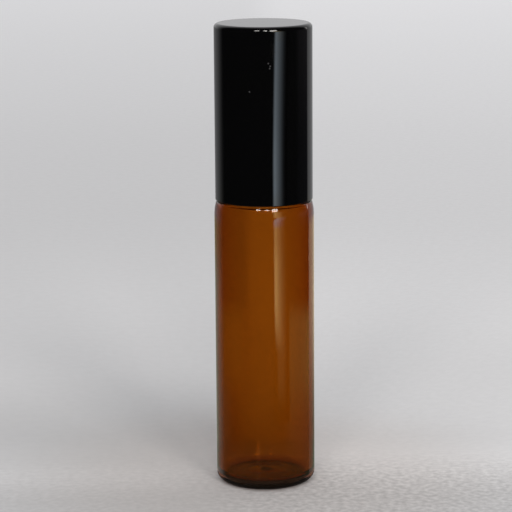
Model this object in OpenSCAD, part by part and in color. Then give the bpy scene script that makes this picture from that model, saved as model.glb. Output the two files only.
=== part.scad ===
// Roll-on bottle of about 10 ml. A bottle drawn from glass tube carries a snap-in roller, and a tall
// two-piece cap screws down over it: a glossy shell on a liner that holds the thread and the ball seal.
// The bottle stands on the XY plane and its axis is Z. Lengths are in millimetres.

/* [Glass bottle] */
// Outside diameter of the glass tube
tube_d = 18.4; // [16:0.2:22]
// Wall of the glass tube
tube_wall = 1; // [0.8:0.1:1.2]
// Height at which the straight tube ends and the shoulder begins
body_h = 50.75; // [35:0.05:70]
// Thickness of the base
base_wall = 1.4; // [0.8:0.1:2]
// Rounding of the heel, outside
heel_r = 1.8; // [1.4:0.1:2.4]
// Rounding of the heel, inside
heel_inner_r = 1.3; // [0.8:0.1:1.6]
// Width of the ring that the bottle stands on
foot_w = 1.6; // [1:0.1:2.4]
// Height of the hollow under the base
hollow_h = 0.5; // [0.2:0.1:1]
// Radius of the sealed button in the middle of the base
button_r = 1.6; // [1:0.1:2.4]
// Height of that button above the inner floor
button_h = 0.35; // [0.1:0.05:0.6]
// Radius of the long round over which the tube draws in to the shoulder
draw_in_r = 9; // [8:0.5:10]
// Angle through which that round turns
draw_in_angle = 15; // [14:0.5:16]
// Rounding of the shoulder's corner, outside
shoulder_r = 0.4; // [0.3:0.05:0.5]
// Rounding of the shoulder's corner, inside
shoulder_inner_r = 0.3; // [0.2:0.1:0.5]
// Wall of the shoulder
shoulder_wall = 0.6; // [0.5:0.1:0.8]
// Angle at which the shoulder climbs to the neck
shoulder_slope = 10; // [6:1:14]

/* [Neck] */
// Wall of the neck
neck_wall = 1.5; // [1.3:0.1:1.6]
// Rounding where the shoulder meets the neck
neck_root_r = 0.8; // [0.4:0.1:1]
// Straight height of the neck
neck_h = 11.2; // [10:0.1:14]
// Rounding of the neck's lip
lip_r = 0.5; // [0.2:0.1:0.6]
// How far the thread stands out of the neck
thread_depth = 0.65; // [0.4:0.05:0.9]

/* [Roller] */
// How far the ball's middle lies in from the neck's bore
ball_inset = 0.15; // [0:0.05:0.4]
// Gap between the ball and its socket
ball_gap = 0.1; // [0.06:0.02:0.2]
// Angle above the ball's middle at which the socket ends
hold_angle = 24; // [18:1:30]
// Wall of the socket at the ball's middle
socket_wall = 0.9; // [0.7:0.1:1]
// Wall of the socket at its rim
rim_wall = 0.5; // [0.3:0.1:0.7]
// Wall between the ball and the glass at the lip
cup_wall = 0.8; // [0.6:0.1:1]
// Thickness of the cup under the ball
cup_floor = 0.9; // [0.6:0.1:1.2]
// How far the flange on the lip stands in from the neck's outside
flange_inset = 0.3; // [0.1:0.05:0.4]
// Thickness of the flange
flange_t = 0.9; // [0.6:0.1:1.4]
// Length of the plug in the neck
plug_l = 7.6; // [6:0.1:9]
// Wall of the plug
plug_wall = 1.2; // [0.8:0.1:1.6]
// Gap between the plug and the neck
plug_gap = 0.15; // [0.1:0.05:0.2]
// Number of sealing rings round the plug
seal_rings = 3; // [1:1:3]
// Section radius of a sealing ring
seal_ring_r = 0.4; // [0.3:0.05:0.5]
// How far the glass squeezes a sealing ring
seal_bite = 0.04; // [0.02:0.01:0.08]
// Radius of the feed hole under the ball
feed_r = 1.2; // [0.8:0.05:2]
// Number of feed grooves in the cup
feed_grooves = 4; // [3:1:6]
// Width of a feed groove
groove_w = 0.9; // [0.5:0.1:1.2]
// Depth of a feed groove
groove_depth = 0.35; // [0.2:0.05:0.5]
// How far a feed groove stops short of the cup's wall at the lip
groove_stop = 0.8; // [0.5:0.1:1.6]

/* [Cap liner] */
// Gap between the neck's thread and the liner
thread_gap = 0.15; // [0.1:0.05:0.25]
// Wall of the liner
liner_wall = 0.7; // [0.5:0.1:0.8]
// How far the liner's mouth stands up from the shell's lower edge
liner_inset = 1; // [0.8:0.1:2]
// Thickness of the liner's closed end
liner_top = 0.9; // [0.6:0.1:1.4]
// Room between the ball's top and the liner's closed end
liner_headroom = 0.9; // [0.4:0.1:1.6]
// Angle from the axis at which the seal ring meets the ball
seal_angle = 33; // [25:1:42]
// Wall of that seal ring
seal_wall = 0.7; // [0.5:0.1:1]
// Gap between the seal ring and the ball
seal_gap = 0.06; // [0.04:0.02:0.2]
// Number of splines that grip the shell
splines = 24; // [12:1:36]
// Height of a spline
spline_depth = 0.15; // [0.1:0.05:0.25]
// Width of a spline
spline_w = 0.7; // [0.4:0.1:0.9]
// How far a spline bites into the shell
spline_bite = 0.03; // [0.01:0.01:0.05]

/* [Cap shell] */
// Height of the cap
cap_h = 32.5; // [28:0.1:40]
// How far the cap stands in from the glass tube
cap_step = 0.2; // [0:0.05:0.6]
// Gap between the cap's lower edge and the shoulder
skirt_gap = 0.1; // [0.05:0.05:0.5]
// Wall of the shell
shell_wall = 0.9; // [0.7:0.1:1.2]
// Thickness of the shell's closed end
shell_top = 1.1; // [0.8:0.1:2]
// Rounding of the shell's top edge
shell_edge_r = 0.8; // [0.4:0.1:1.2]
// Rounding of the shell's lower edge, outside
shell_foot_r = 0.15; // [0.05:0.05:0.3]
// Number of fins that stop the liner
fins = 8; // [4:1:12]
// Thickness of a fin
fin_t = 0.8; // [0.6:0.1:1.2]
// How far a fin stands in from the wall
fin_depth = 1.6; // [1.2:0.1:2.4]
// Height of the bead that keeps the liner in
bead_h = 0.5; // [0.3:0.1:0.6]
// How far that bead stands in from the wall
bead_depth = 0.2; // [0.15:0.05:0.3]

/* [Hidden] */

$fn = 96;
// Straight steps that stand for one swell of the base
swell_steps = 16;
// How far a cut runs past the face that it opens
overrun = 0.2;

amber = [0.45, 0.2, 0.04, 0.75];
natural = [0.88, 0.88, 0.85];
steel = [0.78, 0.79, 0.8];
satin_black = [0.12, 0.12, 0.125];
gloss_black = [0.03, 0.03, 0.035];

// Radii from the tube inwards: the cap's shell, its liner, and the neck that fits in the liner
tube_r = tube_d / 2;
shell_r = tube_r - cap_step;
shell_in_r = shell_r - shell_wall;
liner_r = shell_in_r - spline_depth;
liner_in_r = liner_r - liner_wall;
neck_r = liner_in_r - thread_gap - thread_depth;
bore_r = neck_r - neck_wall;

// The glass, outside: a long round draws the tube in, a tight corner ends it, and a line climbs at the
// slope from there to the neck's root
hollow_r = tube_r - heel_r - foot_w;
slope_out = [sin(shoulder_slope), cos(shoulder_slope)];
draw_in_out = [cos(draw_in_angle), sin(draw_in_angle)];
draw_in_c = [tube_r - draw_in_r, body_h];
draw_in_end = draw_in_c + draw_in_r * draw_in_out;
shoulder_c = draw_in_end - shoulder_r * draw_in_out;
shoulder_end = shoulder_c + shoulder_r * slope_out;
root_r = neck_r + neck_root_r;
root_start_r = root_r - neck_root_r * slope_out[0];
root_start = [root_start_r, line_height(shoulder_end, root_start_r)];
root_c = [root_r, root_start[1] + neck_root_r * slope_out[1]];
lip_z = root_c[1] + neck_h;

// The glass, inside: the round lies one wall in from the outer one and the line one shoulder wall, and
// their corner touches both. The line ends at the rounded foot of the bore
floor_r = tube_r - tube_wall - heel_inner_r;
inner_draw_r = draw_in_r - tube_wall;
inner_line_h = (shoulder_end - draw_in_c) * slope_out - shoulder_wall;
inner_reach = inner_draw_r - shoulder_inner_r;
inner_angle = asin((inner_line_h - shoulder_inner_r) / inner_reach) - shoulder_slope;
inner_out = [cos(inner_angle), sin(inner_angle)];
inner_draw_end = draw_in_c + inner_draw_r * inner_out;
inner_c = draw_in_c + inner_reach * inner_out;
inner_end = inner_c + shoulder_inner_r * slope_out;
foot_start_r = bore_r + tube_wall - tube_wall * slope_out[0];
foot_start = [foot_start_r, line_height(inner_end, foot_start_r)];
foot_c = [bore_r + tube_wall, foot_start[1] + tube_wall * slope_out[1]];

// The roller: the ball sits as low as the wall between it and the lip allows
ball_r = bore_r - ball_inset;
socket_r = ball_r + ball_gap;
cup_r = bore_r - cup_wall;
ball_z = lip_z + sqrt(pow(socket_r, 2) - pow(cup_r, 2));
head_r = socket_r + socket_wall;
rim_r = socket_r * cos(hold_angle) + rim_wall;
rim_z = ball_z + socket_r * sin(hold_angle);
plug_r = bore_r - plug_gap;
plug_z = lip_z - plug_l;
plug_lead = plug_wall / 3;
flange_r = neck_r - flange_inset;
flange_edge = flange_t / 4;
// The dome over the ball starts upright at the ball's middle and ends at the rim's rounding
dome_in = head_r - rim_r;
dome_h = rim_z - rim_wall / 2 - ball_z;
dome_r = (pow(dome_in, 2) + pow(dome_h, 2)) / (2 * dome_in);

// The cap, from the shoulder up
cap_z = shoulder_height(shell_in_r) + skirt_gap;
liner_z = cap_z + liner_inset;
liner_ceiling_z = ball_z + ball_r + liner_headroom;
liner_top_z = liner_ceiling_z + liner_top;
liner_edge = liner_wall / 2;
cap_top_z = cap_z + cap_h;
ceiling_z = cap_top_z - shell_top;
shell_lead = shell_wall / 4;
seal_r = (ball_r + seal_gap) * sin(seal_angle);

// Height at radius r of the sloping line that starts at p
function line_height(p, r) = p[1] + (p[0] - r) * tan(shoulder_slope);

// Height of the shoulder's outer face at radius r, from its corner inwards
function shoulder_height(r) = r > shoulder_end[0]
    ? shoulder_c[1] + sqrt(pow(shoulder_r, 2) - pow(r - shoulder_c[0], 2))
    : line_height(shoulder_end, r);

// A smooth swell of height h, which falls to zero at radius r
function swell(h, r, at) = at < r ? h * (1 + cos(180 * at / r)) / 2 : 0;

// A flat outline of straight sides with round corners, each given as [centre, radius]. The sides of a
// bulging corner meet at its chord, and those of a hollow corner at its centre
module outline(points, bulges = [], hollows = []) {
    difference() {
        union() {
            polygon(points);
            for (c = bulges) translate(c[0]) circle(c[1]);
        }
        for (c = hollows) translate(c[0]) circle(c[1]);
    }
}

// What a large round about c fills, from the axis outwards, up to height h above c
module round_side(c, r, h) {
    intersection() {
        translate(c) circle(r);
        translate([0, c[1]]) square([c[0] + r, h]);
    }
}

// What a small round about c fills between two directions
module round_part(c, r, start, end) {
    reach = r + overrun;
    intersection() {
        translate(c) circle(r);
        polygon([c, c + reach * start, c + reach * (start + end), c + reach * end]);
    }
}

// Bottle: tube glass drawn in to a base with a hollow foot, and to a neck with a fire-polished lip
module glass_bottle() {
    color(amber)
        rotate_extrude()
            difference() {
                glass_outside();
                glass_inside();
            }
}

module glass_outside() {
    heel_c = [tube_r - heel_r, heel_r];
    lip_c = [neck_r - lip_r, lip_z - lip_r];
    hollow = [
        for (i = [0 : swell_steps])
            let (r = hollow_r * i / swell_steps)
            [r, swell(hollow_h, hollow_r, r)]
    ];
    outline(
        concat(hollow, [
            [heel_c[0], 0],
            [tube_r, heel_c[1]],
            [tube_r, body_h],
            draw_in_end,
            shoulder_end,
            root_start,
            root_c,
            [neck_r, root_c[1]],
            [neck_r, lip_c[1]],
            [lip_c[0], lip_z],
            [0, lip_z]
        ]),
        bulges = [[heel_c, heel_r], [lip_c, lip_r]],
        hollows = [[root_c, neck_root_r]]
    );
    round_part(shoulder_c, shoulder_r, draw_in_out, slope_out);
    round_side(draw_in_c, draw_in_r, draw_in_end[1] - body_h);
}

module glass_inside() {
    heel_c = [floor_r, base_wall + heel_inner_r];
    lip_c = [bore_r + lip_r, lip_z - lip_r];
    floor_steps = 2 * swell_steps;
    inner_floor = [
        for (i = [0 : floor_steps])
            let (r = floor_r * i / floor_steps)
            [r, base_wall + swell(hollow_h, hollow_r, r) + swell(button_h, button_r, r)]
    ];
    outline(
        concat(inner_floor, [
            [tube_r - tube_wall, heel_c[1]],
            [tube_r - tube_wall, body_h],
            inner_draw_end,
            inner_end,
            foot_start,
            foot_c,
            [bore_r, foot_c[1]],
            [bore_r, lip_c[1]],
            lip_c,
            [lip_c[0], lip_z + overrun],
            [0, lip_z + overrun]
        ]),
        bulges = [[heel_c, heel_inner_r]],
        hollows = [[foot_c, tube_wall], [lip_c, lip_r]]
    );
    round_part(inner_c, shoulder_inner_r, inner_out, slope_out);
    round_side(draw_in_c, inner_draw_r, inner_draw_end[1] - body_h);
}

// Housing: a plug with sealing rings that is pressed into the neck, a flange that sits on the lip, and
// the springy socket that the ball is snapped into
module roller_housing() {
    color(natural)
        difference() {
            rotate_extrude()
                difference() {
                    union() {
                        plug_section();
                        head_section();
                    }
                    housing_hollow();
                }
            for (i = [0 : feed_grooves - 1])
                rotate(360 * i / feed_grooves) feed_groove();
        }
}

module plug_section() {
    ring_step = plug_l / (seal_rings + 1);
    polygon([
        [0, plug_z],
        [plug_r - plug_lead, plug_z],
        [plug_r, plug_z + 2 * plug_lead],
        [plug_r, lip_z + flange_edge],
        [0, lip_z + flange_edge]
    ]);
    for (i = [1 : seal_rings])
        translate([bore_r + seal_bite - seal_ring_r, plug_z + i * ring_step])
            circle(seal_ring_r);
}

// The head stands on the flange, leans in over the ball and ends in a round rim
module head_section() {
    polygon([
        [0, lip_z],
        [flange_r - flange_edge, lip_z],
        [flange_r, lip_z + flange_edge],
        [flange_r, lip_z + flange_t - flange_edge],
        [flange_r - flange_edge, lip_z + flange_t],
        [head_r, lip_z + flange_t],
        [head_r, ball_z],
        [0, ball_z]
    ]);
    round_side([head_r - dome_r, ball_z], dome_r, dome_h);
    translate([rim_r - rim_wall / 2, ball_z + dome_h]) circle(rim_wall / 2);
}

// The socket, the feed hole, and the plug's inside, which leaves the cup an even wall
module housing_hollow() {
    translate([0, ball_z]) circle(socket_r);
    translate([0, plug_z]) square([feed_r, plug_l]);
    difference() {
        translate([0, plug_z - overrun]) square([plug_r - plug_wall, plug_l]);
        translate([0, ball_z]) circle(socket_r + cup_floor);
    }
}

// A groove that follows the cup, so that liquid reaches the ball past its seat
module feed_groove() {
    intersection() {
        translate([0, 0, ball_z]) sphere(socket_r + groove_depth);
        translate([0, -groove_w / 2, lip_z - plug_l])
            cube([cup_r - groove_stop, groove_w, plug_l + flange_t]);
    }
}

// Ball: ground steel, free to roll in the socket
module roller_ball() {
    color(steel)
        translate([0, 0, ball_z]) sphere(ball_r);
}

// Liner: the cup inside the cap that takes the thread, with splines that grip the shell and a ring that
// seals on the ball
module cap_liner() {
    color(satin_black) {
        rotate_extrude() liner_section();
        for (i = [0 : splines - 1])
            rotate(360 * i / splines) spline();
    }
}

module liner_section() {
    difference() {
        polygon([
            [0, liner_z],
            [liner_r, liner_z],
            [liner_r, liner_top_z - liner_edge],
            [liner_r - liner_edge, liner_top_z],
            [0, liner_top_z]
        ]);
        translate([0, liner_z - overrun])
            square([liner_in_r, liner_ceiling_z - liner_z + overrun]);
    }
    difference() {
        translate([seal_r - seal_wall / 2, ball_z])
            square([seal_wall, liner_ceiling_z + liner_top / 2 - ball_z]);
        translate([0, ball_z]) circle(ball_r + seal_gap);
    }
}

module spline() {
    translate([liner_r - liner_wall / 2, -spline_w / 2, liner_z])
        cube([liner_wall / 2 + spline_depth + spline_bite, spline_w, liner_top_z - liner_edge - liner_z]);
}

// Shell: the tall glossy skin, with fins that stop the liner and a bead that keeps it in
module cap_shell() {
    color(gloss_black) {
        rotate_extrude() shell_section();
        for (i = [0 : fins - 1])
            rotate(360 * i / fins) fin();
    }
}

module shell_section() {
    foot_c = [shell_r - shell_foot_r, cap_z + shell_foot_r];
    edge_c = [shell_r - shell_edge_r, cap_top_z - shell_edge_r];
    difference() {
        outline(
            [
                [0, cap_z],
                [foot_c[0], cap_z],
                [shell_r, foot_c[1]],
                [shell_r, edge_c[1]],
                [edge_c[0], cap_top_z],
                [0, cap_top_z]
            ],
            bulges = [[foot_c, shell_foot_r], [edge_c, shell_edge_r]]
        );
        polygon([
            [0, ceiling_z],
            [shell_in_r, ceiling_z],
            [shell_in_r, liner_z],
            [shell_in_r - bead_depth, liner_z],
            [shell_in_r, liner_z - bead_h],
            [shell_in_r, cap_z + shell_lead],
            [shell_in_r + shell_lead + overrun, cap_z - overrun],
            [0, cap_z - overrun]
        ]);
    }
}

module fin() {
    translate([shell_in_r - fin_depth, -fin_t / 2, liner_top_z])
        cube([fin_depth + shell_wall / 2, fin_t, ceiling_z + shell_top / 2 - liner_top_z]);
}

glass_bottle();
roller_housing();
roller_ball();
cap_liner();
cap_shell();
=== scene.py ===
import math

import bpy
from mathutils import Matrix, Vector


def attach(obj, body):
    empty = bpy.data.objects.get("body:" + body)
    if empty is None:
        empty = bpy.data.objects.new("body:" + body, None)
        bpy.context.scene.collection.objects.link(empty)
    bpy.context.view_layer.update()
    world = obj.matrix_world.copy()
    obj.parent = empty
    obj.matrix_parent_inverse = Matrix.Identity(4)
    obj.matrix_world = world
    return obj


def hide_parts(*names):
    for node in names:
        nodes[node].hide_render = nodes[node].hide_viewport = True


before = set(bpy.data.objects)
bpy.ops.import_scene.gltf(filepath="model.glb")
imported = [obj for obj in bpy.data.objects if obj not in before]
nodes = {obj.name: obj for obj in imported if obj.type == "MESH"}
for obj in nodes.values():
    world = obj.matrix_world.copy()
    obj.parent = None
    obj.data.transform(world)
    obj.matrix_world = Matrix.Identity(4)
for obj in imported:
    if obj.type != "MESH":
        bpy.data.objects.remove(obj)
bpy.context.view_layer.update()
scene = bpy.context.scene


# The camera of the photograph: a long lens that looks down at the bottle from a little above it, with
# the bottle's axis a little right of the picture's middle. Its slight roll follows the bottle's lean.
photo_width_px = 512
focal_px = 2266.3
axis_px = 264.45
camera_reach = 0.4121
camera_height = 0.1271
pitch = math.radians(11.57)
roll = math.radians(-0.41)
camera_data = bpy.data.cameras.new("camera")
camera_data.sensor_width = 36
camera_data.lens = camera_data.sensor_width * focal_px / photo_width_px
camera_data.clip_start = 0.01
camera_data.clip_end = 10
camera = bpy.data.objects.new("camera", camera_data)
scene.collection.objects.link(camera)
aim = math.atan((axis_px - photo_width_px / 2) / focal_px / math.cos(pitch))
camera.location = (0, -camera_reach, camera_height)
turn = Matrix.Rotation(aim, 3, "Z") @ Matrix.Rotation(math.pi / 2 - pitch, 3, "X")
camera.rotation_euler = (turn @ Matrix.Rotation(roll, 3, "Z")).to_euler()
scene.camera = camera
scene.view_settings.view_transform = "Standard"


# The glass bottle: one tube of amber glass, its wall 1 mm, drawn in to a base with a hollow foot and a
# sealed button inside, and to a thick neck. The neck's thread is pressed into it while it is hot, and
# the lip is fire-polished. Nothing fixes it: it stands on its foot and carries the rest.
mm = 0.001
tube_r = 9.2
tube_wall = 1.0
body_top_z = 50.75
base_wall = 1.4
heel_r = 1.8
heel_inner_r = 1.3
hollow_r = 5.8
hollow_h = 0.5
button_r = 1.6
button_h = 0.35
draw_in_r = 9
draw_in_angle = 15
shoulder_r = 0.4
shoulder_inner_r = 0.3
shoulder_wall = 0.6
shoulder_slope = 10
neck_r = 6.45
bore_r = 4.95
neck_root_r = 0.8
lip_r = 0.5
lip_z = 65.616
glass_sides = 192
neck_rows = 92
hollow_rows = 16
floor_rows = 28
# Rings on the straight wall, the first of them close over the heel, so that the wall is shaded straight
first_ring_h = 0.2
wall_ring_shares = (0.25, 0.5, 0.75)


def arc(centre, radius, start, end, steps):
    """Points of a round stretch of an outline, from one angle to another."""
    angles = [math.radians(start + (end - start) * i / steps) for i in range(steps + 1)]
    return [(centre[0] + radius * math.cos(a), centre[1] + radius * math.sin(a)) for a in angles]


def along(angle, length=1.0):
    """A step of a given length in a direction of the outline's plane."""
    return Vector((math.cos(angle), math.sin(angle))) * length


def swell(height, radius, at):
    """The glass of the base rises in the middle, and falls smoothly to nothing at the radius."""
    return height * (1 + math.cos(math.pi * at / radius)) / 2 if at < radius else 0.0


def turned_points(section, sides):
    """The points of a section in millimetres turned round Z, one ring after another."""
    turns = [2 * math.pi * k / sides for k in range(sides)]
    return [(r * mm * math.cos(a), r * mm * math.sin(a), z * mm) for r, z in section for a in turns]


def band(low, high, sides):
    """The faces between two rings, each given by its first point."""
    following = [(k + 1) % sides for k in range(sides)]
    return [(low + k, low + n, high + n, high + k) for k, n in enumerate(following)]


def smooth_mesh(name, verts, faces):
    """A mesh of points and faces that is shaded smooth."""
    mesh = bpy.data.meshes.new(name)
    mesh.from_pydata(verts, [], faces)
    mesh.validate()
    for face in mesh.polygons:
        face.use_smooth = True
    return mesh


def turned_mesh(name, outline, sides):
    """A closed mesh turned round Z from an outline in millimetres that starts and ends on the axis."""
    rings = outline[1:-1]
    verts = [(0, 0, outline[0][1] * mm)] + turned_points(rings, sides) + [(0, 0, outline[-1][1] * mm)]
    top, last_ring = len(verts) - 1, len(verts) - 1 - sides
    faces = [(0, 1 + (k + 1) % sides, 1 + k) for k in range(sides)]
    for i in range(len(rings) - 1):
        faces += band(1 + i * sides, 1 + (i + 1) * sides, sides)
    faces += [(last_ring + k, last_ring + (k + 1) % sides, top) for k in range(sides)]
    return smooth_mesh(name, verts, faces)


slope = math.radians(shoulder_slope)
slope_out = math.pi / 2 - slope
draw_in = math.radians(draw_in_angle)
draw_in_c = Vector((tube_r - draw_in_r, body_top_z))
shoulder_c = draw_in_c + along(draw_in, draw_in_r - shoulder_r)
shoulder_end = shoulder_c + along(slope_out, shoulder_r)
# The inner corner touches the inner round and the underside of the slope, whose wall is thinner
inner_reach = draw_in_r - tube_wall - shoulder_inner_r
inner_drop = (shoulder_end - draw_in_c) @ along(slope_out) - shoulder_wall - shoulder_inner_r
inner_angle = math.asin(inner_drop / inner_reach) - slope
inner_c = draw_in_c + along(inner_angle, inner_reach)
inner_end = inner_c + along(slope_out, shoulder_inner_r)


def round_above(end, round_x, radius):
    """The height of a round's centre whose foot carries on the shoulder's slope from its end."""
    rise = (end[0] - round_x + radius * math.sin(slope)) * math.tan(slope)
    return end[1] + rise + radius * math.cos(slope)


root_c = (neck_r + neck_root_r, round_above(shoulder_end, neck_r + neck_root_r, neck_root_r))
foot_c = (bore_r + tube_wall, round_above(inner_end, bore_r + tube_wall, tube_wall))
floor_r = tube_r - tube_wall - heel_inner_r

outside = []
for i in range(hollow_rows + 1):
    at = hollow_r * i / hollow_rows
    outside.append((at, swell(hollow_h, hollow_r, at)))
outside += arc((tube_r - heel_r, heel_r), heel_r, -90, 0, steps=20)
outside += [(tube_r, heel_r + first_ring_h)]
outside += [(tube_r, body_top_z * share) for share in wall_ring_shares]
outside += arc(draw_in_c, draw_in_r, 0, draw_in_angle, steps=14)
outside += arc(shoulder_c, shoulder_r, draw_in_angle, 90 - shoulder_slope, steps=10)[1:]
outside += arc(root_c, neck_root_r, 270 - shoulder_slope, 180, steps=10)
neck_h = lip_z - lip_r - root_c[1]
outside += [(neck_r, root_c[1] + neck_h * i / neck_rows) for i in range(1, neck_rows)]
outside += arc((neck_r - lip_r, lip_z - lip_r), lip_r, 0, 90, steps=8)

inside = arc((bore_r + lip_r, lip_z - lip_r), lip_r, 90, 180, steps=8)
inside += arc(foot_c, tube_wall, 180, 270 - shoulder_slope, steps=14)
inside += arc(inner_c, shoulder_inner_r, 90 - shoulder_slope, math.degrees(inner_angle), steps=14)
inside += arc(draw_in_c, draw_in_r - tube_wall, math.degrees(inner_angle), 0, steps=6)[1:]
inside += [(tube_r - tube_wall, body_top_z * share) for share in reversed(wall_ring_shares)]
inside += [(tube_r - tube_wall, base_wall + heel_inner_r + first_ring_h)]
inside += arc((floor_r, base_wall + heel_inner_r), heel_inner_r, 0, -90, steps=14)
for i in reversed(range(floor_rows)):
    at = floor_r * i / floor_rows
    rise = swell(hollow_h, hollow_r, at) + swell(button_h, button_r, at)
    inside.append((at, base_wall + rise))
bottle_mesh = turned_mesh("amber_bottle", outside + inside, glass_sides)
bottle = bpy.data.objects.new("amber_bottle", bottle_mesh)
scene.collection.objects.link(bottle)


def fill(tree, node, inputs):
    """Sets or links a node's inputs, given by name or number, and gives back its outputs."""
    for label, value in inputs.items():
        if isinstance(value, bpy.types.NodeSocket):
            tree.links.new(value, node.inputs[label])
        else:
            node.inputs[label].default_value = value
    return node.outputs


def reckon(tree, operation, *values):
    """One step of arithmetic on numbers and sockets."""
    node = tree.nodes.new("ShaderNodeMath")
    node.operation = operation
    return fill(tree, node, dict(enumerate(values)))[0]


def product(tree, result, *factors):
    """Numbers and sockets multiplied one after another."""
    for factor in factors:
        result = reckon(tree, "MULTIPLY", result, factor)
    return result


def ramp(tree, value, start, end, low=0.0, high=1.0, smooth=True):
    """Maps a value from start to end onto low to high, and holds it beyond them."""
    node = tree.nodes.new("ShaderNodeMapRange")
    node.interpolation_type = "SMOOTHSTEP" if smooth else "LINEAR"
    limits = {"Value": value, "From Min": start, "From Max": end, "To Min": low, "To Max": high}
    return fill(tree, node, limits)["Result"]


def parts_of(tree, vector):
    """The X, Y and Z of a place or a direction."""
    return fill(tree, tree.nodes.new("ShaderNodeSeparateXYZ"), {0: vector})[:]


def screw_thread_tree(sizes):
    """Raises a right-handed screw thread on a mesh's round wall, with ends that fade into the wall."""
    tree = bpy.data.node_groups.new("screw thread", "GeometryNodeTree")
    tree.is_modifier = True
    tree.interface.new_socket("Geometry", in_out="INPUT", socket_type="NodeSocketGeometry")
    for label, size in sizes.items():
        socket = tree.interface.new_socket(label, in_out="INPUT", socket_type="NodeSocketFloat")
        socket.default_value = size
    tree.interface.new_socket("Material", in_out="INPUT", socket_type="NodeSocketMaterial")
    tree.interface.new_socket("Geometry", in_out="OUTPUT", socket_type="NodeSocketGeometry")
    given = tree.nodes.new("NodeGroupInput").outputs

    x, y, z = parts_of(tree, tree.nodes.new("GeometryNodeInputPosition").outputs[0])
    squares = [product(tree, part, part) for part in (x, y)]
    radius = reckon(tree, "SQRT", reckon(tree, "ADD", *squares))
    round_share = reckon(tree, "DIVIDE", reckon(tree, "ARCTAN2", y, x), 2 * math.pi)
    round_share = reckon(tree, "FLOORED_MODULO", round_share, 1.0)
    # How many turns a point lies above the ridge's start, less its own share of a turn: a whole number
    # on the ridge's middle line
    above = reckon(tree, "SUBTRACT", z, given["Start height"])
    above = reckon(tree, "DIVIDE", above, given["Pitch"])
    above = reckon(tree, "SUBTRACT", above, round_share)
    nearest = reckon(tree, "ROUND", above)
    off_line = reckon(tree, "ABSOLUTE", reckon(tree, "SUBTRACT", above, nearest))
    off_line = product(tree, off_line, given["Pitch"])
    half_foot = reckon(tree, "DIVIDE", given["Foot width"], 2.0)
    half_crest = reckon(tree, "DIVIDE", given["Crest width"], 2.0)
    rise = ramp(tree, off_line, half_foot, half_crest)

    travelled = reckon(tree, "ADD", round_share, nearest)
    left = reckon(tree, "SUBTRACT", given["Turns"], travelled)
    fades = [ramp(tree, turns, 0.0, given["Fade turns"]) for turns in (travelled, left)]
    height = product(tree, rise, *fades, given["Ridge height"])
    outward = [product(tree, reckon(tree, "DIVIDE", part, radius), height) for part in (x, y)]
    offset = fill(tree, tree.nodes.new("ShaderNodeCombineXYZ"), dict(enumerate(outward)))[0]
    off_wall = reckon(tree, "SUBTRACT", radius, given["Wall radius"])
    on_wall = reckon(tree, "LESS_THAN", reckon(tree, "ABSOLUTE", off_wall), 0.01 * mm)

    raised = {"Geometry": given["Geometry"], "Selection": on_wall, "Offset": offset}
    geometry = fill(tree, tree.nodes.new("GeometryNodeSetPosition"), raised)[0]
    geometry = fill(tree, tree.nodes.new("GeometryNodeRealizeInstances"), {0: geometry})[0]
    painted = {"Geometry": geometry, "Material": given["Material"]}
    geometry = fill(tree, tree.nodes.new("GeometryNodeSetMaterial"), painted)[0]
    fill(tree, tree.nodes.new("NodeGroupOutput"), {0: geometry})
    return tree


def cut_thread(piece, tree, material, sizes):
    """Runs the thread's tree on a piece with the given sizes, and keeps the result as its plain mesh."""
    modifier = piece.modifiers.new("screw thread", "NODES")
    modifier.node_group = tree
    given = {**sizes, "Material": material}
    for socket in tree.interface.items_tree:
        if socket.in_out == "INPUT" and socket.name in given:
            modifier[socket.identifier] = given[socket.name]
    evaluated = piece.evaluated_get(bpy.context.evaluated_depsgraph_get())
    mesh = bpy.data.meshes.new_from_object(evaluated)
    piece.modifiers.clear()
    piece.data = mesh


def start_material(name):
    """A new material, its node tree and its Principled shader."""
    material = bpy.data.materials.new(name)
    material.use_nodes = True
    tree = material.node_tree
    return material, tree, tree.nodes["Principled BSDF"]


def object_place(tree):
    """The place of a spot on its own piece, in metres."""
    return tree.nodes.new("ShaderNodeTexCoord").outputs["Object"]


def noise(tree, per_metre, stretch=(1, 1, 1), detail=2.0):
    """A noise on the piece's own coordinates, by its bumps per metre."""
    mapping = tree.nodes.new("ShaderNodeMapping")
    place = fill(tree, mapping, {"Vector": object_place(tree), "Scale": stretch})[0]
    texture = tree.nodes.new("ShaderNodeTexNoise")
    return fill(tree, texture, {"Vector": place, "Scale": per_metre, "Detail": detail})["Fac"]


def spread(tree, value, low, high):
    """Maps a noise's usual range onto low to high."""
    usual_low, usual_high = 0.3, 0.7
    return ramp(tree, value, usual_low, usual_high, low, high, smooth=False)


def bump(tree, height, depth, strength):
    """The surface's normal, turned by a height pattern that is depth metres deep."""
    node = tree.nodes.new("ShaderNodeBump")
    return fill(tree, node, {"Height": height, "Distance": depth, "Strength": strength})[0]


amber, tree, glass = start_material("amber glass")
smears = noise(tree, 160, stretch=(1, 1, 0.4), detail=3)
draw_lines = noise(tree, 260, stretch=(1, 1, 0.05), detail=1)
finish = {
    "Base Color": (1, 1, 1, 1),
    "Transmission Weight": 1,
    "IOR": 1.52,
    "Roughness": spread(tree, smears, 0.0, 0.02),
    "Normal": bump(tree, draw_lines, depth=0.02 * mm, strength=0.35),
}
fill(tree, glass, finish)
# The amber comes from the light that the glass absorbs along the way through it
depth_tint = {"Color": (0.81, 0.57, 0.0, 1), "Density": 3000}
absorbed = fill(tree, tree.nodes.new("ShaderNodeVolumeAbsorption"), depth_tint)[0]
fill(tree, tree.nodes["Material Output"], {"Volume": absorbed})

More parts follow.
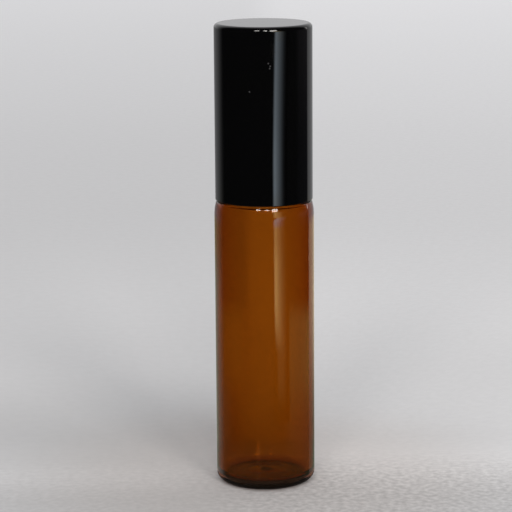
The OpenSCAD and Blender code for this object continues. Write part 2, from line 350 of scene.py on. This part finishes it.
neck_thread = {
    "Wall radius": neck_r * mm,
    "Ridge height": 0.65 * mm,
    "Pitch": 2.9 * mm,
    "Start height": 58.0 * mm,
    "Turns": 1.6,
    "Crest width": 0.6 * mm,
    "Foot width": 1.7 * mm,
    "Fade turns": 0.16,
}
thread_tree = screw_thread_tree(neck_thread)
cut_thread(bottle, thread_tree, amber, neck_thread)
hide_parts("glass_bottle")
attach(bottle, "bottle")


# The roller housing: uncoloured polyethylene, moulded in one piece and pressed into the neck by its
# three sealing rings. The ball is snapped into its socket.
def mixed(tree, share, first, second):
    """A colour between two others, each a colour or a socket, by the second's share."""
    node = tree.nodes.new("ShaderNodeMix")
    node.data_type = "RGBA"
    return fill(tree, node, {"Factor": share, "A": first, "B": second})["Result"]


def dress(node_name, material):
    """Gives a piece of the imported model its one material."""
    piece = nodes[node_name]
    piece.data.materials.clear()
    piece.data.materials.append(material)


natural, tree, plastic = start_material("natural polyethylene")
milky, clearer = (0.72, 0.73, 0.70, 1), (0.80, 0.80, 0.77, 1)
finish = {
    "Base Color": mixed(tree, noise(tree, 400, detail=3), milky, clearer),
    "Roughness": spread(tree, noise(tree, 900), 0.3, 0.45),
    "Subsurface Weight": 0.3,
    "Subsurface Radius": (1, 1, 0.9),
    "Subsurface Scale": 1.2 * mm,
    "Normal": bump(tree, noise(tree, 6000), depth=0.01 * mm, strength=0.4),
}
fill(tree, plastic, finish)
dress("roller_housing", natural)


# The ball: stainless steel, ground and polished, loose in its socket so that it rolls. The finest
# scratches of use run over it in every direction.
steel, tree, metal = start_material("polished steel")
worn_steel, bright_steel = (0.60, 0.60, 0.61, 1), (0.68, 0.68, 0.68, 1)
scratches = noise(tree, 9000, stretch=(1, 0.15, 1), detail=3)
finish = {
    "Metallic": 1,
    "Base Color": mixed(tree, noise(tree, 300, detail=3), worn_steel, bright_steel),
    "Roughness": spread(tree, noise(tree, 1500, detail=4), 0.05, 0.14),
    "Normal": bump(tree, scratches, depth=0.004 * mm, strength=0.3),
}
fill(tree, metal, finish)
dress("roller_ball", steel)


# The cap's liner: black polypropylene, as moulded, gripped by the shell on its 24 splines. Its thread
# is a ridge that runs below the neck's, and sits in the liner's wall.
satin, tree, plastic = start_material("black polypropylene")
deep_satin, worn_satin = (0.018, 0.018, 0.019, 1), (0.030, 0.030, 0.031, 1)
finish = {
    "Base Color": mixed(tree, noise(tree, 500, detail=3), deep_satin, worn_satin),
    "Roughness": spread(tree, noise(tree, 1200), 0.38, 0.52),
    "Normal": bump(tree, noise(tree, 8000), depth=0.02 * mm, strength=0.4),
}
fill(tree, plastic, finish)
dress("cap_liner", satin)

liner_in_r = 7.25
liner_sunk_r = liner_in_r + 0.05
liner_back_r = liner_in_r + 0.35
ridge_low_z = 54.9
ridge_high_z = 60.9
ridge_rows = 60
ring_sides = 160


def ring_mesh(name, section, sides):
    """A closed ring turned round Z from a section that runs clockwise, seen with the axis at its left."""
    rings = len(section)
    faces = []
    for i in range(rings):
        faces += band(i * sides, (i + 1) % rings * sides, sides)
    return smooth_mesh(name, turned_points(section, sides), faces)


row_h = (ridge_high_z - ridge_low_z) / ridge_rows
section = [(liner_sunk_r, ridge_high_z - row_h * i) for i in range(ridge_rows + 1)]
section += [(liner_back_r, ridge_low_z), (liner_back_r, ridge_high_z)]
ridge = bpy.data.objects.new("liner_thread", ring_mesh("liner_thread", section, ring_sides))
scene.collection.objects.link(ridge)
# Half a turn's climb under the neck's thread, and raised inwards
liner_thread = {
    "Wall radius": liner_sunk_r * mm,
    "Ridge height": -0.55 * mm,
    "Pitch": neck_thread["Pitch"],
    "Start height": neck_thread["Start height"] - neck_thread["Pitch"] / 2,
    "Turns": 1.3,
    "Crest width": neck_thread["Crest width"],
    "Foot width": 1.6 * mm,
    "Fade turns": 0.12,
}
cut_thread(ridge, thread_tree, satin, liner_thread)
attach(ridge, "cap")


# The cap's shell: the tall skin of high-gloss black plastic over the liner, closed by a flat top with a
# rounded edge. A few specks of dust lie on it.
shell_r = 9.0
dust_per_metre = 130
# The plain middle and the faded rim of a speck: those of the fine dust are shares of its spacing
dust_core_share, dust_rim_share = 0.012, 0.02
speck_core_r, speck_rim_r = 0.08, 0.18
# Where the four larger specks lie on the front: across from its middle, and up
front_specks = ((0.9, 79.6), (1.25, 79.1), (1.15, 78.7), (-2.5, 74.5))


def distance_from(tree, point):
    """How far a spot of a piece lies from a point, in metres."""
    node = tree.nodes.new("ShaderNodeVectorMath")
    node.operation = "DISTANCE"
    return fill(tree, node, {0: object_place(tree), 1: point})["Value"]


def near_to(tree, distance, core, rim):
    """One within the core's distance, falling evenly to nothing at the rim's."""
    return ramp(tree, distance, core, rim, low=1, high=0, smooth=False)


gloss, tree, plastic = start_material("gloss black")
grains = {"Vector": object_place(tree), "Scale": dust_per_metre}
off_grain = fill(tree, tree.nodes.new("ShaderNodeTexVoronoi"), grains)["Distance"]
dust = near_to(tree, off_grain, dust_core_share, dust_rim_share)
for x, z in front_specks:
    spot = (x * mm, -math.sqrt(shell_r**2 - x**2) * mm, z * mm)
    speck = near_to(tree, distance_from(tree, spot), speck_core_r * mm, speck_rim_r * mm)
    dust = reckon(tree, "MAXIMUM", speck, dust)
clean_black, dusty = (0.0012, 0.0012, 0.0013, 1), (0.05, 0.05, 0.05, 1)
finish = {
    "IOR": 1.5,
    "Base Color": mixed(tree, dust, clean_black, dusty),
    "Roughness": spread(tree, noise(tree, 350, detail=4), 0.03, 0.09),
    "Normal": bump(tree, noise(tree, 220, stretch=(1, 1, 0.3), detail=1), depth=0.02 * mm, strength=0.3),
}
fill(tree, plastic, finish)
dress("cap_shell", gloss)


# The floor: a sheet of plain pale paper that the bottle stands on, with painted light far behind it and
# painted shade near it. It is no part of the object.
floor_half = 1.5
pale_grey = (1, 1, 1.01)
painted_shade_near_foot = (0.533, 0.513, 0.504, 1)
painted_shadow_under_glass = (0.346, 0.329, 0.319, 1)
# Painted light and shade: how light the paper is, by the square root of the distance from the axis in
# metres
painted_light_by_distance = (
    (0, 0.519),
    (0.17, 0.548),
    (0.2, 0.568),
    (0.237, 0.594),
    (0.285, 0.638),
    (0.33, 0.666),
    (0.39, 0.699),
    (0.45, 0.692),
    (0.513, 0.683),
    (0.58, 0.703),
    (0.65, 0.737),
    (0.733, 0.794),
    (0.825, 0.853),
    (1, 0.959),
)


def curve(tree, value, points):
    """A smooth line through points, over values from 0 to 1."""
    node = tree.nodes.new("ShaderNodeFloatCurve")
    line = node.mapping.curves[0]
    line.points[0].location, line.points[1].location = points[0], points[-1]
    for point in points[1:-1]:
        line.points.new(*point)
    node.mapping.update()
    return fill(tree, node, {"Value": value})["Value"]


def scaled(tree, colour, painted_shading_and_grain):
    """A colour or a socket times a level."""
    node = tree.nodes.new("ShaderNodeVectorMath")
    node.operation = "SCALE"
    return fill(tree, node, {0: colour, "Scale": painted_shading_and_grain})[0]


def blend(tree, measure, start, end, before, after):
    """One colour up to the start of a stretch of a measure, and another from its end."""
    return mixed(tree, ramp(tree, measure, start, end), before, after)


def is_mirrored(tree):
    """One for rays that a surface has mirrored, and zero for all others."""
    path = tree.nodes.new("ShaderNodeLightPath").outputs
    return product(tree, path["Is Glossy Ray"], path["Is Reflection Ray"])


floor_corners = [(floor_half * x, floor_half * y, 0) for x, y in ((-1, -1), (1, -1), (1, 1), (-1, 1))]
floor_mesh = bpy.data.meshes.new("floor")
floor_mesh.from_pydata(floor_corners, [], [(0, 1, 2, 3)])
floor = bpy.data.objects.new("floor", floor_mesh)
scene.collection.objects.link(floor)
paper, tree, matte = start_material("pale paper")
aside, behind = parts_of(tree, object_place(tree))[:2]
from_axis = distance_from(tree, (0, 0, 0))
from_foot = distance_from(tree, (0, -1.2 * mm, 0))
# The paper's colour times its painted light and shade by distance
paper_and_painted_shade = scaled(tree, pale_grey, curve(tree, reckon(tree, "SQRT", from_axis), painted_light_by_distance))
# Painted shade near the foot, and a painted shadow on the paper under the glass
paper_and_painted_shade = blend(tree, from_axis, 0.02, 0.06, painted_shade_near_foot, paper_and_painted_shade)
paper_and_painted_shade = blend(tree, from_foot, 0.0062, 0.0088, painted_shadow_under_glass, paper_and_painted_shade)
# Painted shade makes it darker on the bottle's left than on its right, most of all a little way behind
# it, and painted light makes it lightest beside the bottle
side_shade_near = ramp(tree, behind, -0.005, 0.016, low=0.02, high=0.13)
side_shade_far = ramp(tree, behind, 0.03, 0.085, low=0.13, high=0.042)
side_shade = reckon(tree, "MINIMUM", side_shade_near, side_shade_far)
on_side = ramp(tree, aside, -0.015, 0.015, low=-1, high=1)
by_side = reckon(tree, "MULTIPLY_ADD", on_side, side_shade, 1.0)
by_front = ramp(tree, behind, -0.016, 0.006, low=0.9, high=1.09)
by_back = ramp(tree, behind, 0.012, 0.03, low=1, high=0.92)
# Its grain shows most at the right of the foot and in front
grain = spread(tree, noise(tree, 420, detail=3), 0.985, 1.015)
relief = spread(tree, noise(tree, 850, detail=3), -0.16, 0.16)
relief_front = ramp(tree, behind, -0.004, 0.02, low=1, high=0.1)
relief_right = ramp(tree, aside, -0.014, 0.004, low=0.35, high=1)
grain = reckon(tree, "ADD", grain, product(tree, relief, relief_front, relief_right))
# The tube spreads what is seen through it. Painted shade makes the paper far back darker there, most of
# all on the left
spread_per_metre = 11.5
through = reckon(tree, "DIVIDE", aside, reckon(tree, "MULTIPLY_ADD", behind, spread_per_metre, 1.0))
painted_shade_left = ramp(tree, through, -0.0021, -0.0050, high=0.21)
painted_shade_right = ramp(tree, through, 0.0015, 0.0035, high=0.09)
painted_shade_through_glass = reckon(tree, "ADD", painted_shade_left, painted_shade_right)
painted_shade_through_glass = product(tree, painted_shade_through_glass, ramp(tree, behind, 0.115, 0.16))
# A thin painted streak of light on the paper behind it, standing in for the light that the glass focuses
# there, and a painted darker belt across there
streak_left = 0.00137
off_streak = reckon(tree, "ABSOLUTE", reckon(tree, "ADD", through, streak_left))
painted_streak = ramp(tree, off_streak, 0.00012, 0.00066, low=0.34, high=0)
painted_streak = product(tree, painted_streak, ramp(tree, behind, 0.015, 0.031, low=1, high=0))
painted_darker_belt = ramp(tree, behind, 0.0125, 0.017, high=0.14)
painted_darker_belt = product(tree, painted_darker_belt, ramp(tree, behind, 0.021, 0.03, low=1, high=0))
painted_shade_through_glass = reckon(tree, "ADD", painted_shade_through_glass, reckon(tree, "SUBTRACT", painted_darker_belt, painted_streak))
# The painted shade, belt and streak show only to rays through the glass
seen_through = tree.nodes.new("ShaderNodeLightPath").outputs["Is Transmission Ray"]
unshaded_share = reckon(tree, "SUBTRACT", 1.0, product(tree, painted_shade_through_glass, seen_through))
# The paper's painted light and shade, times its grain
painted_shading_and_grain = product(tree, by_side, product(tree, by_front, by_back), grain, unshaded_share)
finish = {"Base Color": scaled(tree, paper_and_painted_shade, painted_shading_and_grain), "Roughness": 0.9, "Specular IOR Level": 0.1}
surface = fill(tree, matte, finish)[0]
# The bottle's gloss mirrors the floor at its foot, and dimly: the rest of what it mirrors is the world
gap = product(tree, ramp(tree, from_axis, 0.0115, 0.017, low=0.9, high=1), is_mirrored(tree))
clear = tree.nodes.new("ShaderNodeBsdfTransparent").outputs[0]
surface = fill(tree, tree.nodes.new("ShaderNodeMixShader"), {"Fac": gap, 1: surface, 2: clear})[0]
fill(tree, tree.nodes["Material Output"], {"Surface": surface})
floor_mesh.materials.append(paper)


# The surroundings: a plain pale studio, lit evenly. What the gloss of the bottle mirrors of it goes by
# the mirrored ray's direction: across, back from the camera, and up.
pale = (0.62, 0.62, 0.63, 1)
ambient = (0.70, 0.70, 0.71, 1)
dark = (0.012, 0.012, 0.013, 1)
world = bpy.data.worlds.new("studio")
scene.world = world
world.use_nodes = True
tree = world.node_tree
direction = tree.nodes.new("ShaderNodeTexCoord").outputs["Generated"]
across, back, up = parts_of(tree, direction)
flat_share = reckon(tree, "SQRT", reckon(tree, "SUBTRACT", 1.0, reckon(tree, "POWER", up, 2.0)))
back = reckon(tree, "DIVIDE", back, flat_share)

# What the cap mirrors: dark in front, pale behind, with a sharp edge on the right and a soft one on
# the left
cap_left = (0.28, 0.28, 0.285, 1)
cap_side = (0.10, 0.09, 0.10, 1)
cap_side_low = (0.03, 0.03, 0.035, 1)
cap_right = (0.45, 0.45, 0.46, 1)
cap_above = (0.68, 0.68, 0.69, 1)
soft_edge = (0.28, 0.75)
sharp_edge = (0.55, 0.60)
on_left = blend(tree, back, *soft_edge, dark, cap_left)
side = blend(tree, up, -0.06, -0.16, cap_side, cap_side_low)
on_right = blend(tree, back, -0.2, 0.1, dark, side)
on_right = blend(tree, back, *sharp_edge, on_right, cap_right)

# What the glass under it mirrors is warmer, and lighter at the sides lower down. The colours change
# over stretches of up: the haze under the seam, the low wall, and the last of it over the heel
haze_left = (0.13, 0.12, 0.02, 1)
haze_left_low = (0.09, 0.11, 0.05, 1)
haze_right = (0.38, 0.38, 0.12, 1)
haze_right_low = (0.10, 0.13, 0.07, 1)
edge_left_top = (0.28, 0.27, 0.16, 1)
edge_left = (0.29, 0.33, 0.26, 1)
edge_left_low = (0.24, 0.27, 0.22, 1)
edge_left_foot = (0.55, 0.42, 0.37, 1)
edge_right_top = (0.8, 0.68, 0.48, 1)
edge_right = (0.2, 0.22, 0.16, 1)
edge_right_low = (0.14, 0.23, 0.17, 1)
edge_right_foot = (0.50, 0.32, 0.25, 1)
front_low = (0.18, 0.13, 0.07, 1)
low_wall = (-0.276, -0.288)
over_heel = (-0.2895, -0.2925)
in_front = blend(tree, up, -0.276, -0.29, dark, front_low)

haze = blend(tree, back, -0.3, 0.3, in_front, haze_left_low)
haze = blend(tree, up, -0.245, -0.265, haze_left, haze)
haze = blend(tree, up, -0.218, -0.228, dark, haze)
haze = blend(tree, back, -0.75, -0.35, in_front, haze)
edge = blend(tree, up, -0.19, -0.215, edge_left_top, edge_left)
edge = blend(tree, up, *low_wall, edge, edge_left_low)
edge = blend(tree, up, *over_heel, edge, edge_left_foot)
glass_left = blend(tree, back, *soft_edge, haze, edge)

haze = blend(tree, up, -0.245, -0.275, haze_right, haze_right_low)
haze = blend(tree, up, -0.218, -0.23, dark, haze)
haze = blend(tree, back, -0.8, -0.4, in_front, haze)
edge = blend(tree, up, -0.215, -0.275, edge_right_top, edge_right)
edge = blend(tree, up, *low_wall, edge, edge_right_low)
edge = blend(tree, up, *over_heel, edge, edge_right_foot)
glass_right = blend(tree, back, *sharp_edge, haze, edge)

seam = (-0.179, -0.185)
on_left = blend(tree, up, *seam, on_left, glass_left)
on_right = blend(tree, up, *seam, on_right, glass_right)
around = mixed(tree, reckon(tree, "GREATER_THAN", across, 0.0), on_left, on_right)

# The round heel mirrors painted colours that stand for the paper in front of it through amber: painted
# shade at its rim, and painted light at its ends
heel_top = (0.40, 0.20, 0.11, 1)
heel_low = (0.12, 0.07, 0.04, 1)
heel_rim = (0.035, 0.025, 0.02, 1)
heel_ends = (0.78, 0.34, 0.21, 1)
sideways = ramp(tree, reckon(tree, "ABSOLUTE", across), 0.25, 0.7)
not_steep = ramp(tree, up, -0.42, -0.52, low=1, high=0)
at_ends = product(tree, sideways, not_steep, ramp(tree, back, 0.0, 0.5))
heel = blend(tree, up, -0.45, -0.85, heel_top, heel_low)
heel = blend(tree, back, 0.0, 0.35, heel, heel_rim)
heel = mixed(tree, at_ends, heel, heel_ends)
heel_start = reckon(tree, "ADD", up, ramp(tree, back, 0.0, 0.4, low=-0.0015, high=0.002))
around = blend(tree, heel_start, -0.295, -0.302, around, heel)
above = blend(tree, back, 0.3, 0.85, dark, cap_above)
around = blend(tree, up, -0.03, 0.05, around, above)

path = tree.nodes.new("ShaderNodeLightPath").outputs
seen = reckon(tree, "MAXIMUM", path["Is Camera Ray"], path["Is Transmission Ray"])
sky = mixed(tree, seen, ambient, pale)
sky = mixed(tree, is_mirrored(tree), sky, around)
fill(tree, tree.nodes["Background"], {"Color": sky, "Strength": 1})


# The lamps: soft daylight from a window of three panes in front, and a weaker pane at the right. They
# stand upright round the bottle, and the camera doesn't see them.
warm = (1, 0.96, 0.92)
pane_reach = 0.85
pane_top = 0.62
window_radiance = 11


def around_bottle(azimuth, reach, height):
    """A place round the bottle, by its angle to the right of the camera, in degrees and metres."""
    angle = math.radians(azimuth)
    return (reach * math.sin(angle), -reach * math.cos(angle), height)


def pane(name, azimuth, degrees, low, high, radiance):
    """A soft upright lamp of an even radiance that faces the bottle, by its width in degrees."""
    width = 2 * pane_reach * math.tan(math.radians(degrees / 2))
    lamp = bpy.data.lights.new(name, "AREA")
    lamp.shape = "RECTANGLE"
    lamp.size, lamp.size_y = width, high - low
    lamp.energy = radiance * math.pi * width * (high - low)
    lamp.color = warm
    holder = bpy.data.objects.new(name, lamp)
    scene.collection.objects.link(holder)
    holder.location = around_bottle(azimuth, pane_reach, (low + high) / 2)
    facing = -Vector(around_bottle(azimuth, pane_reach, 0))
    holder.rotation_euler = facing.to_track_quat("-Z", "Y").to_euler()
    holder.visible_camera = False


pane("pane left", -14.5, degrees=12, low=0.305, high=pane_top, radiance=window_radiance)
pane("pane middle", 6.3, degrees=8, low=0.305, high=pane_top, radiance=window_radiance)
pane("pane right", 25, degrees=15, low=0.24, high=pane_top, radiance=window_radiance)
pane("side pane", 122, degrees=4, low=0.05, high=0.42, radiance=2.1)


# The card: a bright upright card on the right, under the window, whose reflection is the stripe down
# the front. Its left edge leans and is nearly sharp, and it fades to the right and at its slanting foot.
card_reach = 0.48
card_start = 17.7
card_degrees = 38
card_low, card_high = -0.12, 0.15
card_columns, card_rows = 16, 18
card_radiance = 4.0
# The left edge leans to the right above and below its bend, up to where the glass shoulder mirrors it
lean_bend, lean_stop = -0.022, 0.05
lean_above, lean_above_height, lean_power = 5.8, 0.057, 1.5
lean_below_per_metre = 26


def card_lean(height):
    """How many degrees to the right the card's left edge stands at a height."""
    if height >= lean_stop:
        return 0
    above = lean_above * max((height - lean_bend) / lean_above_height, 0) ** lean_power
    return above + lean_below_per_metre * max(lean_bend - height, 0)


card_verts, card_place, card_faces = [], [], []
for j in range(card_rows + 1):
    height = card_low + (card_high - card_low) * j / card_rows
    left_edge = card_start + card_lean(height)
    for i in range(card_columns + 1):
        share = i / card_columns
        card_verts.append(around_bottle(left_edge + card_degrees * share, card_reach, height))
        card_place.append((share, j / card_rows))
for j in range(card_rows):
    for i in range(card_columns):
        corner = j * (card_columns + 1) + i
        above = corner + card_columns + 1
        card_faces.append((corner, corner + 1, above + 1, above))
card_mesh = bpy.data.meshes.new("card")
card_mesh.from_pydata(card_verts, [], card_faces)
card_uv = card_mesh.uv_layers.new(name="place on the card")
for loop in card_mesh.loops:
    card_uv.data[loop.index].uv = card_place[loop.vertex_index]
card = bpy.data.objects.new("card", card_mesh)
scene.collection.objects.link(card)

glow, tree, unused = start_material("glow")
place = tree.nodes.new("ShaderNodeUVMap")
place.uv_map = card_uv.name
share_right, share_up = parts_of(tree, place.outputs[0])[:2]
# Degrees to the right of the leaning edge's middle, and metres above the floor
soft_margin = 4.0
right = reckon(tree, "MULTIPLY_ADD", share_right, card_degrees, -soft_margin)
height = reckon(tree, "MULTIPLY_ADD", share_up, card_high - card_low, card_low)
gain_by_share = (
    (0, 0.6),
    (0.148, 0.7),
    (0.218, 0.8),
    (0.272, 0.66),
    (0.296, 0.57),
    (0.365, 0.75),
    (0.467, 0.64),
    (1, 0.75),
)
gain = curve(tree, share_up, gain_by_share)
edge_softness = 3.0
full_degrees = 4.0
fade_change = (-0.045, -0.03)
foot_slant = 0.0007
foot_stretch = (-0.091, -0.07)
rise = ramp(tree, right, -edge_softness, edge_softness)
fade_degrees = ramp(tree, height, *fade_change, low=32.0, high=22.0)
fade_bend = ramp(tree, height, *fade_change, low=2.6, high=1.4)
past = reckon(tree, "DIVIDE", reckon(tree, "SUBTRACT", right, full_degrees), fade_degrees)
fade = reckon(tree, "SUBTRACT", 1.0, reckon(tree, "MAXIMUM", past, 0.0))
fade = reckon(tree, "POWER", reckon(tree, "MAXIMUM", fade, 0.0), fade_bend)
foot = ramp(tree, reckon(tree, "MULTIPLY_ADD", right, foot_slant, height), *foot_stretch)
strength = product(tree, gain, card_radiance, rise, fade, foot)
# A dim haze under the foot's slant
haze = product(tree, ramp(tree, right, 2, 9), ramp(tree, right, 16, 30, low=1, high=0))
haze = product(tree, haze, ramp(tree, height, -0.118, -0.1, high=0.3))
strength = reckon(tree, "MAXIMUM", strength, haze)
# Cool where the cap mirrors it, and warm under that, for the glass wall, and over it, for the shoulder
warm_glow, cool_glow = (1.18, 0.9, 0.35, 1), (0.77, 0.9, 1.02, 1)
over_wall = ramp(tree, height, -0.0375, -0.0345)
under_shoulder = ramp(tree, height, 0.036, 0.045, low=1, high=0)
hue = mixed(tree, product(tree, over_wall, under_shoulder), warm_glow, cool_glow)
shining = fill(tree, tree.nodes.new("ShaderNodeEmission"), {"Color": hue, "Strength": strength})[0]
fill(tree, tree.nodes["Material Output"], {"Surface": shining})
tree.nodes.remove(unused)
card_mesh.materials.append(glow)
card.visible_camera = False
card.visible_diffuse = False
card.visible_transmission = False
card.visible_shadow = False
